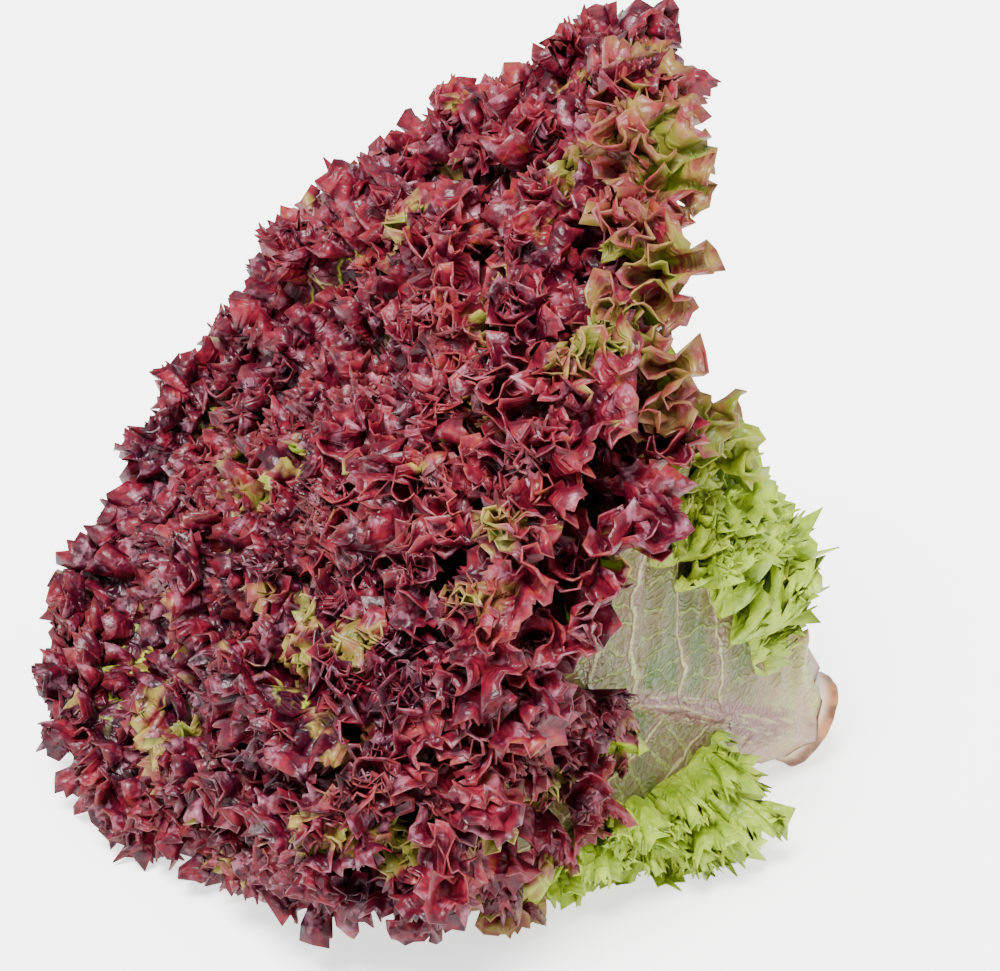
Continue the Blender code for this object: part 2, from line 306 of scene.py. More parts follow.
# Leaves whose tip lies closer to the head.
TIP_BENT_IN = {
    0: math.radians(-22.0),
    2: math.radians(-3.0),
    3: math.radians(-15.0),
    5: math.radians(-6.0),
}
FLARE_POWER = 1.5
SHELL_STATIONS = 120
LEAF_LENGTH = (0.200, 0.128)
LENGTH_POWER = 1.25
LENGTH_CHANCE = 0.03
UPRIGHT_LENGTH = 0.10
LEAF_GROWTH = {0: 0.90, 3: 0.88, 4: 0.97, 6: 1.05, 7: 0.98}  # shares of the usual length
LEAF_HALF_WIDTH = (0.094, 0.032)
HALF_WIDTH_POWER = 0.8
BASE_HALF_WIDTH = 0.0102
WIDEST_AT = 0.66
WIDENING_POWER = 1.3
TIP_ROUNDNESS = 2.5
RIB_SHARE = 0.80
RIB_POWER = 1.1
MARGIN_SAMPLES = 160
BASE_WRAP = (math.radians(85.0), math.radians(48.0))
INNER_FROM = 0.4
WIDEST_WRAP = math.radians(54.0)
BASE_WRAP_ENDS_AT = 0.110
LIMIT_POWER = 5
SPIRAL_TWIST = 0.012
FLOOR_SQUASH = 0.12
SQUASH_FROM, SQUASH_TO = 0.050, 0.150
FLOOR_SPREAD = (0.95, 0.30)
SPREAD_FROM, SPREAD_FULL, SPREAD_TIPS = 0.017, 0.042, 0.120
BACK_SPREAD = 0.40
MARGIN_STEP = 0.0125
FRILL_HEIGHT = 0.0060
LOWEST_VIGOUR = 0.65
FRILL_POWER = 1.8
FRILL_FULL_AT = 0.170
TOOTH = 0.045
TOOTH_FROM = 0.7
TOOTH_FULL_AT = 0.1
OUTER_CURL = 0.0090
CURL_POWER = 4
CURLED_EDGES = ((0, -1), (0, 1), (1, -1), (1, 1), (2, -1))  # leaf, and side of it

COLUMN_STEP = 0.0027  # along the finished edge
RUFFLE_ZONE = 0.026  # width of the ruffled band
RUFFLE_ROWS = (1.0, 0.72, 0.50, 0.32, 0.18, 0.08, 0.0)  # shares of it from the edge
WIDEST_RUFFLE = 0.72  # share of the blade that the band may take
OUTER_ROWS = (0.0, 0.03, 0.07, 0.13, 0.24, 0.40, 0.58, 0.79)
INNER_ROWS = (0.0, 0.45)
OUTER_ROW_LEAVES = 4
FLOOR_CLEARANCE = 0.0006
ROLL = math.radians(58.0)  # how far the edge has turned outward
ROLL_SHARE = {0: 0.0, 1: 0.6}  # leaves whose edge has turned less
CALM_SIDES = {2: 1, 3: -1, 5: 1}  # sides of leaves under the front leaf, with no frill low down
CALM_UP_TO = (0.150, 0.175)
TUCKED_IN = 0.014  # how far those sides lie further in at their edge
BILLOW_GAIN = (0.75, 0.0)  # how much higher the broad folds stand than the frame's, outer and inner
MARGIN_CUPS = (0.0135, 0.0046, 0.0022)  # along the edge of the broad folds: step, height, overhang
RIPPLE_STEP = 0.0130  # along the edge of the cups
RIPPLE_HEIGHT = 0.0015
RIPPLE_OVERHANG = 0.0008
TOOTH_STEP = 0.0090
TOOTH_LENGTH = 0.0024
TOOTH_POINT = 0.0021
LOW_LEAVES = 7  # leaves whose frill starts close to the stem, with longer teeth low down
LOW_FRILL, HIGH_FRILL = (0.010, 0.050), (0.02, 0.085)  # stations where the frill starts and is full
LOW_TEETH, FRONT_TEETH = 2.0, 2.6  # times the usual tooth
FRILL_ZONES = (0.020, 0.0085, 0.0036)  # how far in from the edge cups, ripples and teeth reach
RED_FROM = ((0.120, 0.030), (0.155, 0.075))  # stations where the margin turns red, outer and inner leaves
RED_SOONER = {0: 0.036}  # how much sooner one side of that leaf turns red
BLUSH = {0: 0.55, 2: 0.54, 7: 0.85}  # leaves that have turned less red than the others
# Lines of folded-over lobes: distance from the edge, face (1 upper, -1 under), side of the leaf (0 both),
# height, and the stations where they begin and end.
FULL_LENGTH = (0.300, 0.310)
CROWN_LOBES = (
    (0.0085, 1, 0, 0.0095, (0.070, 0.110), FULL_LENGTH),
    (0.0175, 1, 0, 0.0095, (0.070, 0.110), FULL_LENGTH),
    (0.0275, 1, 0, 0.0095, (0.070, 0.110), FULL_LENGTH),
)
FRONT_LOBES = (
    (0.0030, -1, -1, 0.0100, (0.022, 0.045), (0.120, 0.150)),
    (0.0130, -1, -1, 0.0110, (0.030, 0.055), (0.120, 0.150)),
    (0.0240, -1, -1, 0.0120, (0.030, 0.050), (0.115, 0.135)),
    (0.0360, -1, -1, 0.0140, (0.032, 0.050), (0.115, 0.135)),
    (0.0480, -1, -1, 0.0150, (0.036, 0.050), (0.115, 0.130)),
    (0.0600, -1, -1, 0.0150, (0.044, 0.056), (0.110, 0.125)),
    (0.0700, -1, -1, 0.0140, (0.056, 0.068), (0.100, 0.112)),
    (0.0060, -1, 1, 0.0120, (0.022, 0.040), (0.130, 0.160)),
    (0.0180, -1, 1, 0.0140, (0.022, 0.040), (0.130, 0.150)),
    (0.0320, -1, 1, 0.0170, (0.030, 0.045), (0.120, 0.140)),
    (0.0480, -1, 1, 0.0190, (0.032, 0.047), (0.105, 0.125)),
    (0.0630, -1, 1, 0.0190, (0.036, 0.050), (0.095, 0.110)),
    (0.0770, -1, 1, 0.0160, (0.046, 0.060), (0.090, 0.105)),
    (0.0030, -1, 0, 0.0080, (0.125, 0.145), FULL_LENGTH),
    (0.0110, -1, 0, 0.0085, (0.125, 0.145), FULL_LENGTH),
    (0.0200, -1, 1, 0.0085, (0.120, 0.135), FULL_LENGTH),
    (0.0290, -1, 1, 0.0085, (0.110, 0.125), FULL_LENGTH),
    (0.0380, -1, 1, 0.0095, (0.108, 0.120), FULL_LENGTH),
    (0.0480, -1, 1, 0.0100, (0.104, 0.116), FULL_LENGTH),
    (0.0580, -1, 1, 0.0100, (0.100, 0.112), FULL_LENGTH),
    (0.0680, -1, 1, 0.0100, (0.096, 0.106), FULL_LENGTH),
    (0.0770, -1, 1, 0.0100, (0.096, 0.104), FULL_LENGTH),
    (0.0860, -1, 1, 0.0095, (0.098, 0.106), FULL_LENGTH),
)
SKIRT_LOBES = (
    (0.0030, -1, 0, 0.0105, (0.022, 0.045), (0.115, 0.145)),
    (0.0095, -1, 0, 0.0085, (0.030, 0.055), (0.115, 0.145)),
)
LOBE_STRAY = 0.0040
RED_TIP_FROM = (0.158, 0.172)  # stations where even the paler leaves turn red
PALE_BAND = 0.018  # lobes further in than this are as red as any
LOBE_ROWS = (0.0, 0.30, 0.60, 0.84, 1.0)
LOBE_LEAN = math.radians(38.0)
LOBE_CUPS = (0.0120, 0.0036, 0.0018)
FRONT_CUPS = (0.0190, 0.0052, 0.0026)
LOBE_ROOT_DEPTH = 0.0012
LOBE_STUB = 0.0006  # height of a lobe where its line has ended
LOBE_COLUMN_STEP = 0.0030
LOBE_ENDS = (0.86, 0.97)
KNOTS = 4000
FACES_KEPT_FRONT, FACES_KEPT, FACES_KEPT_INSIDE = 0.46, 0.33, 0.28  # shares left after thinning out
INSIDE_FROM = 12
SKIRTED_LEAVES, FULLY_LOBED_LEAVES = 6, 16
TRIAL_COLUMNS = 3001
TIP_MERGED_WITHIN = 1e-7
LEAST_LOBE = 0.9  # in millimetres
BLADE_THICKNESS = 0.00045
RIB_HEIGHT = 0.0028
RIB_HALF_WIDTH = 0.0062
VEIN_HEIGHT = 0.0010
VEIN_HALF_WIDTH = 0.0022
SOLIDIFY_THICKNESS = 0.005
VEIN_STEP = 0.030
MARKS = ("from_edge", "station", "vein", "rib", "redness")


def lobes_of(index):
    """The lines of lobes that a leaf carries, by its place in the spiral."""
    if index == 0:
        return FRONT_LOBES
    if index < SKIRTED_LEAVES:
        return SKIRT_LOBES + CROWN_LOBES
    return CROWN_LOBES if index < FULLY_LOBED_LEAVES else CROWN_LOBES[:1]


def faces_kept(index):
    if index == 0:
        return FACES_KEPT_FRONT
    return FACES_KEPT if index < INSIDE_FROM else FACES_KEPT_INSIDE


def ramp(x, start, end):
    """0 up to start, 1 from end on, and smooth between the two."""
    return smoothstep((x - start) / (end - start))


def eased_limit(x):
    return x / (1.0 + np.abs(x) ** LIMIT_POWER) ** (1.0 / LIMIT_POWER)


def head_points(radius, azimuth, along):
    """World points of head coordinates: distance from the axis, angle round it, distance along it."""
    pressed = smoothstep(-np.cos(azimuth))
    squash = FLOOR_SQUASH * pressed * ramp(along, SQUASH_FROM, SQUASH_TO)
    spread = pressed * ramp(radius, SPREAD_FROM, SPREAD_FULL)
    spread = spread * between(FLOOR_SPREAD, ramp(radius, SPREAD_FULL, SPREAD_TIPS))
    spread = spread * between((BACK_SPREAD, 1.0), ramp(np.sin(azimuth), -1.0, 1.0))
    up = radius * np.cos(azimuth) * (1.0 - squash)
    sideways = radius * np.sin(azimuth) * (1.0 + spread)
    return (
        np.array(CUT_CENTRE)
        + along[..., None] * np.array(AXIS)
        + up[..., None] * np.array(TOPWARD)
        + sideways[..., None] * np.array(SIDEWARD)
    )


class Leaf:
    """The measures of one leaf, from its place in the spiral."""

    def __init__(self, index):
        self.index = index
        self.seed = 1000 * (index + 1)
        self.chance = np.random.default_rng(FIRST_SEED + index)
        self.depth = min(1.0, index / (LEAF_COUNT - 1))
        self.azimuth = FIRST_LEAF_AT + index * SPIRAL_STEP + LEAF_TURN.get(index, 0.0)
        self.azimuth += self.chance.uniform(-STRAY_TURN, STRAY_TURN)
        self.length = between(LEAF_LENGTH, self.depth**LENGTH_POWER) * LEAF_GROWTH.get(index, 1.0)
        self.length *= self.chance.uniform(1.0 - LENGTH_CHANCE, 1.0 + LENGTH_CHANCE)
        upright = math.cos(self.azimuth) ** 2
        self.length *= 1.0 + UPRIGHT_LENGTH * upright * (1.0 - self.depth) ** 2
        self.half_width = between(LEAF_HALF_WIDTH, self.depth**HALF_WIDTH_POWER)
        self.base_wrap = between(BASE_WRAP, smoothstep(self.depth / INNER_FROM))
        self.base_along = LOWEST_LEAF_BASE + index * LEAF_BASE_STEP
        self.curled_sides = [side for leaf, side in CURLED_EDGES if leaf == index]
        self.frill = LOW_FRILL if index < LOW_LEAVES else HIGH_FRILL
        self.low_teeth = FRONT_TEETH if index == 0 else LOW_TEETH if index < LOW_LEAVES else 1.0
        self.roll = ROLL * ROLL_SHARE.get(index, 1.0)
        self.billow = 1.0 + between(BILLOW_GAIN, self.depth**0.6)
        self.trace_shell()
        self.trace_margin()

    def trace_shell(self):
        """The shell's profile: distance from the axis and along it, at stations along the leaf."""
        self.stations = np.linspace(0.0, self.length, SHELL_STATIONS)
        share = self.stations / self.length
        base, tip = between(BASE_FLARE, self.depth), between(TIP_FLARE, self.depth)
        tip += TIP_BENT_IN.get(self.index, 0.0)
        self.flare = base + (tip - base) * share**FLARE_POWER
        step = self.stations[1]
        start = stem_radius_at(self.base_along) + BASE_CLEARANCE
        self.radii = start + step * np.concatenate([[0.0], np.cumsum(np.sin(self.flare[:-1]))])
        self.alongs = self.base_along + step * np.concatenate(
            [[0.0], np.cumsum(np.cos(self.flare[:-1]))]
        )

    def half_width_at(self, share):
        """The flat leaf's half width: a stalk that widens to a broad round blade."""
        lower = np.sin(0.5 * math.pi * np.minimum(share / WIDEST_AT, 1.0)) ** WIDENING_POWER
        upper = np.clip((share - WIDEST_AT) / (1.0 - WIDEST_AT), 0.0, 1.0)
        widening = BASE_HALF_WIDTH + (self.half_width - BASE_HALF_WIDTH) * lower
        return widening * (1.0 - upper**TIP_ROUNDNESS) ** (1.0 / TIP_ROUNDNESS)

    def trace_margin(self):
        """The flat outline of one half of the leaf, from its base to its tip, by length along it."""
        turn = np.linspace(0.0, 0.5 * math.pi, MARGIN_SAMPLES)
        lower = np.linspace(0.0, WIDEST_AT, MARGIN_SAMPLES)
        share = np.concatenate([lower, WIDEST_AT + (1.0 - WIDEST_AT) * np.sin(turn)])
        self.margin_x = self.half_width_at(share)
        self.margin_s = share * self.length
        steps = np.hypot(np.diff(self.margin_x), np.diff(self.margin_s))
        run = np.concatenate([[0.0], np.cumsum(steps)])
        self.margin_length = run[-1]
        self.margin_run = run / run[-1]
        self.folds = 2 * round(run[-1] / MARGIN_STEP)
        self.vigour = self.chance.uniform(LOWEST_VIGOUR, 1.0, self.folds + 1)


def drift(seed, x, step):
    """A smooth random line through x, between -1 and 1, that changes within a step."""
    knots = np.random.default_rng(seed).uniform(-1.0, 1.0, KNOTS)
    knot = x / step
    whole = np.floor(knot).astype(int)
    return between((knots[whole], knots[whole + 1]), smoothstep(knot - whole))


def unit(vectors):
    return vectors / np.maximum(np.linalg.norm(vectors, axis=-1, keepdims=True), 1e-9)


def lie_of(points):
    """For a grid of points, rows from rib to edge: along the edge, away from the rib, and outward."""
    tangent = unit(np.gradient(points, axis=1))
    reach = np.gradient(points, axis=0)
    reach = unit(reach - np.sum(reach * tangent, axis=-1, keepdims=True) * tangent)
    return tangent, reach, np.cross(reach, tangent)


def flat_blade(leaf, across, out):
    """The smooth leaf on its shell, with the broad folds of its margin."""
    side = np.where(across < 0.5, -1, 1)
    up = 1.0 - np.abs(2.0 * across - 1.0)
    fold = np.cos(math.pi * across * leaf.folds)
    vigour = np.interp(across * leaf.folds, np.arange(leaf.folds + 1), leaf.vigour)
    tooth = TOOTH * fold * ramp(out, TOOTH_FROM, 1.0) * smoothstep(up / TOOTH_FULL_AT)
    reach = out * (1.0 + tooth)
    rib_s = RIB_SHARE * leaf.length * up**RIB_POWER
    margin_x = np.interp(up, leaf.margin_run, leaf.margin_x)
    margin_s = np.interp(up, leaf.margin_run, leaf.margin_s)
    lateral = side * reach * margin_x
    station = np.clip(rib_s + reach * (margin_s - rib_s), 0.0, leaf.length)
    radius = np.interp(station, leaf.stations, leaf.radii)
    along = np.interp(station, leaf.stations, leaf.alongs)
    flare = np.interp(station, leaf.stations, leaf.flare)
    widest = between((leaf.base_wrap, WIDEST_WRAP), smoothstep(station / BASE_WRAP_ENDS_AT))
    wrap = widest * eased_limit(lateral / radius / widest)
    full = np.clip(station / FRILL_FULL_AT, 0.0, 1.0)
    lift = fold * vigour * leaf.billow * FRILL_HEIGHT * full * out**FRILL_POWER
    lift = lift - SPIRAL_TWIST * station * np.sin(wrap)
    lift = lift + OUTER_CURL * full * out**CURL_POWER * np.isin(side, leaf.curled_sides)
    lift = lift - TUCKED_IN * full * out**2 * (1.0 - liveliness(leaf, across, station))
    points = head_points(
        radius + lift * np.cos(flare), leaf.azimuth + wrap, along - lift * np.sin(flare)
    )
    return points, lateral, station


def rows_of(leaf, across):
    """Shares from rib to margin for each row and column: even on the blade, then the ruffled band."""
    up = 1.0 - np.abs(2.0 * across - 1.0)
    rib_s = RIB_SHARE * leaf.length * up**RIB_POWER
    margin_x = np.interp(up, leaf.margin_run, leaf.margin_x)
    margin_s = np.interp(up, leaf.margin_run, leaf.margin_s)
    breadth = np.hypot(margin_x, margin_s - rib_s)
    band = np.minimum(WIDEST_RUFFLE, RUFFLE_ZONE / breadth)
    blade_rows = OUTER_ROWS if leaf.index < OUTER_ROW_LEAVES else INNER_ROWS
    blade = np.array(blade_rows)[:, None] * (1.0 - band)[None, :]
    ruffle = 1.0 - np.array(RUFFLE_ROWS)[:, None] * band[None, :]
    from_edge = np.concatenate([breadth * (1.0 - blade), breadth * (1.0 - ruffle)])
    return np.concatenate([blade, ruffle]), from_edge, band * breadth


def run_along(edge):
    return np.concatenate([[0.0], np.cumsum(np.linalg.norm(np.diff(edge, axis=0), axis=-1))])


def rolled(points, near, angle):
    """Turns the outer rows of a blade outward, ever further towards the edge."""
    outward = lie_of(points)[2]
    steps = np.diff(points, axis=0)
    length = np.linalg.norm(steps, axis=-1, keepdims=True)
    turn = (angle * near[1:] ** 1.2)[..., None]
    steps = np.cos(turn) * steps + np.sin(turn) * length * outward[1:]
    return points[:1] + np.concatenate([np.zeros_like(points[:1]), np.cumsum(steps, axis=0)])


def folded(points, growth, phase, height, overhang):
    """Folds a blade along its edge into waves that lean over at their crests."""
    tangent, _, outward = lie_of(points)
    points = points + (height * growth * np.sin(phase))[..., None] * outward
    return points - (overhang * growth**1.5 * np.sin(2.0 * phase))[..., None] * tangent


def frilled(points, grown, seed, run, vigour, cups, tooth_length):
    """Folds a free edge into cups, ripples it and cuts its teeth. grown tells how far each has come in."""
    step, height, overhang = cups
    edge_run = run_along(points[-1])
    phase = 2.0 * math.pi * (edge_run / step + 0.45 * drift(seed + 1, run, 0.022))
    phase = phase + 1.2 * drift(seed + 2, run, 0.025) * (1.0 - grown[0])
    height = height * (1.0 + 0.45 * drift(seed + 3, run, 0.014)) * vigour
    points = folded(points, grown[0]**1.6, phase, height, overhang * vigour)

    edge_run = run_along(points[-1])
    phase = 2.0 * math.pi * (edge_run / RIPPLE_STEP + 0.5 * drift(seed + 4, edge_run, 0.013))
    height = RIPPLE_HEIGHT * (1.0 + 0.6 * drift(seed + 5, edge_run, 0.009)) * vigour
    points = folded(points, grown[1]**1.4, phase, height, RIPPLE_OVERHANG * vigour)

    reach = lie_of(points)[1]
    saw = np.mod(edge_run / TOOTH_STEP + 0.5 * drift(seed + 6, edge_run, 0.011), 1.0)
    saw = (1.0 - np.abs(2.0 * saw - 1.0)) ** 1.5 * (0.8 + 0.8 * drift(seed + 7, edge_run, TOOTH_STEP))
    return points + (saw * tooth_length * (0.35 + 0.65 * vigour) * grown[2])[..., None] * reach


def tooth_length_at(leaf, station):
    return TOOTH_LENGTH * between((leaf.low_teeth, 1.0), ramp(station, 0.05, 0.11))


def point_at(leaf, station):
    return TOOTH_POINT / TOOTH_LENGTH * tooth_length_at(leaf, station) * ramp(station, 0.01, 0.04)


def smooth_leaf(leaf, across):
    """The leaf before its frills: its broad folds, and its margin rolled outward."""
    out, from_edge, zone = rows_of(leaf, across)
    points, lateral, station = flat_blade(leaf, np.broadcast_to(across, out.shape), out)
    run = across * 2.0 * leaf.margin_length
    near = np.clip(1.0 - from_edge / zone, 0.0, 1.0)
    roll = leaf.roll * (0.8 + 0.5 * drift(leaf.seed, run, 0.040)) * ramp(station[-1], 0.03, 0.12)
    return rolled(points, near, roll), lateral, station, out, from_edge, zone


def liveliness(leaf, across, station):
    """0 where a front leaf's margin lies calm, and 1 elsewhere."""
    calm = np.where(across < 0.5, -1, 1) == CALM_SIDES.get(leaf.index, 0)
    return np.where(calm, ramp(station, *CALM_UP_TO), 1.0)


def redness_at(leaf, run, station, from_margin=0.0):
    """How far the frill has turned from green to burgundy at a station of the leaf."""
    turns_red = [between(ends, leaf.depth**0.5) for ends in RED_FROM]
    stray = 0.012 * drift(leaf.seed + 9, run, 0.030)
    stray = stray + RED_SOONER.get(leaf.index, 0.0) * (run > leaf.margin_length)
    blush = BLUSH.get(leaf.index, 1.0) if from_margin < PALE_BAND else 1.0
    redder_tip = ramp(station, *RED_TIP_FROM) * ((run < leaf.margin_length) | (leaf.index == 0))
    return ramp(station + stray, *turns_red) * between((blush, 1.0), redder_tip)


def leaf_grid(leaf, across):
    """Points of a leaf's grid, and what its finish has to know at each of them."""
    points, lateral, station, out, from_edge, zone = smooth_leaf(leaf, across)
    shrink = zone / RUFFLE_ZONE
    grown = [np.clip(1.0 - from_edge / (width * shrink), 0.0, 1.0) for width in FRILL_ZONES]
    vigour = ramp(station[-1], *leaf.frill) * liveliness(leaf, across, station[-1])
    run = across * 2.0 * leaf.margin_length
    tooth_length = tooth_length_at(leaf, station[-1])
    points = frilled(points, grown, leaf.seed, run, vigour, MARGIN_CUPS, tooth_length)
    points[..., 2] = np.maximum(points[..., 2], FLOOR_CLEARANCE)
    vein_place = run / VEIN_STEP + 0.25 * drift(leaf.seed + 8, run, 0.020)
    off_vein = np.abs(vein_place - np.round(vein_place)) * VEIN_STEP * out
    vein = np.clip(1.0 - off_vein / (VEIN_HALF_WIDTH * (1.1 - 0.8 * out)), 0.0, 1.0)
    vein = vein * (1.0 - ramp(out, 0.45, 0.9))
    vein = vein * (1.0 - ramp(station / leaf.length, 0.50, 0.75))
    rib_width = RIB_HALF_WIDTH * np.clip(1.05 - station / (RIB_SHARE * leaf.length), 0.01, 1.0)
    rib = np.clip(1.0 - np.abs(lateral) / rib_width, 0.0, 1.0)
    rib = rib * (1.0 - ramp(station / leaf.length, 0.40, 0.70))
    redness = 1.0 - ramp(from_edge, 0.018 + 0.02 * leaf.depth, 0.044 + 0.02 * leaf.depth)
    redness = redness * redness_at(leaf, run, station)
    marks = {
        "from_edge": from_edge * 1000.0,
        "station": station * 1000.0,
        "vein": vein,
        "rib": rib,
        "redness": redness,
    }
    return points, np.stack([lateral, station], axis=-1), marks


def at_rows(grid, rows):
    """Values of a grid at one fractional row for each column."""
    low = np.minimum(rows.astype(int), len(grid) - 2)
    column = np.arange(grid.shape[1])
    share = (rows - low).reshape((-1,) + (1,) * (grid.ndim - 2))
    return between((grid[low, column], grid[low + 1, column]), share)


def lobe_grid(leaf, line, lobes, across):
    """A line of lobes that have folded over onto the blade: a strip rooted in it, with a free edge."""
    points, _, station, _, from_edge, _ = smooth_leaf(leaf, across)
    seed = leaf.seed + 100 * (line + 1)
    run = across * 2.0 * leaf.margin_length
    from_margin, face, side, tallest, begins, ends = lobes
    distance = np.maximum(0.001, from_margin + LOBE_STRAY * drift(seed, run, 0.025))
    order = np.arange(len(from_edge))
    rows = np.array([np.interp(-d, -edge, order) for d, edge in zip(distance, from_edge.T)])
    reach, outward = (at_rows(grid, rows) for grid in lie_of(points)[1:])
    root, station = at_rows(points, rows), at_rows(station, rows)
    vigour = ramp(station, *begins) * (1.0 - ramp(station, *ends))
    vigour = vigour * (1.0 - ramp(np.abs(2.0 * across - 1.0), *LOBE_ENDS))
    vigour = vigour * liveliness(leaf, across, station)
    if side:
        vigour = vigour * (side * (across - 0.5) > 0.0)
    height = LOBE_STUB + tallest * (0.8 + 0.35 * drift(seed + 10, run, 0.017)) * vigour
    lean = LOBE_LEAN * (1.0 + 0.9 * drift(seed + 11, run, 0.020))
    share = np.array(LOBE_ROWS)[:, None, None]
    turn = lean[None, :, None] * (0.5 + 0.7 * share)
    direction = np.sin(turn) * reach - np.cos(turn) * face * outward
    points = root + LOBE_ROOT_DEPTH * face * outward + height[None, :, None] * share * direction
    share = np.broadcast_to(share[..., 0], points.shape[:2])
    grown = (share**0.7, share, share**2)
    cups = FRONT_CUPS if leaf.index == 0 else LOBE_CUPS
    points = frilled(points, grown, seed, run, vigour, cups, tooth_length_at(leaf, station))
    points[..., 2] = np.maximum(points[..., 2], FLOOR_CLEARANCE)
    marks = {
        "from_edge": height * (1.0 - share) * 1000.0,
        "station": np.broadcast_to(station * 1000.0, share.shape),
        "vein": np.zeros_like(share),
        "rib": np.zeros_like(share),
        "redness": np.broadcast_to(redness_at(leaf, run, station, from_margin), share.shape),
    }
    return points, np.stack([np.broadcast_to(run, share.shape), height * share], axis=-1), marks


def toothed(sheet, seed, lengths):
    """Draws every other column's end out to a point."""
    points, flat, marks = sheet
    reach = lie_of(points)[1][-1]
    chance = np.random.default_rng(seed).uniform(0.3, 1.0, len(reach))
    chance[1::2] = 0.0
    points[-1] += (lengths * chance)[:, None] * reach
    points[..., 2] = np.maximum(points[..., 2], FLOOR_CLEARANCE)
    return points, flat, marks


def even_columns(grid_at, ends, step):
    """Places along the margin, from 0 to 1, that lie evenly along the finished edge."""
    trial = np.linspace(*ends, TRIAL_COLUMNS)
    run = run_along(grid_at(trial)[0][-1])
    run = 0.5 * (run + run[-1] - run[::-1])
    half = round(0.5 * run[-1] / step)
    return np.interp(np.linspace(0.0, run[-1], 2 * half + 1), run, trial)


LEAF_GREEN = (0.20, 0.32, 0.012)
LEAF_LIME = (0.52, 0.66, 0.050)
LEAF_CREAM = (0.44, 0.42, 0.18)
RIB_MAUVE = (0.215, 0.105, 0.090)
TAN = (0.23, 0.125, 0.036)
CORAL = (0.21, 0.048, 0.034)
STRAW = (0.40, 0.31, 0.070)
PLUM = (0.020, 0.002, 0.008)
MAROON = (0.056, 0.002, 0.011)
BURGUNDY = (0.112, 0.005, 0.015)
CRIMSON = (0.215, 0.010, 0.026)
RUSSET = (0.27, 0.055, 0.018)
# Colour of the painted highlight on the red frills.
PAINTED_HIGHLIGHT_PINK = (0.46, 0.19, 0.27)
UNDER_GREEN = (0.040, 0.080, 0.002)
UNDER_MAUVE = (0.112, 0.060, 0.028)
UNDER_PALE = (0.24, 0.28, 0.060)
OLIVE = (0.125, 0.110, 0.018)
BARK = (0.125, 0.050, 0.022)
BASE_PINK = (0.47, 0.27, 0.215)
GREEN_GLOW = (0.30, 0.40, 0.025)
RED_GLOW = (0.135, 0.006, 0.016)
PALE_GLOW = (0.44, 0.34, 0.22)
GLOW_SHARE = 0.38


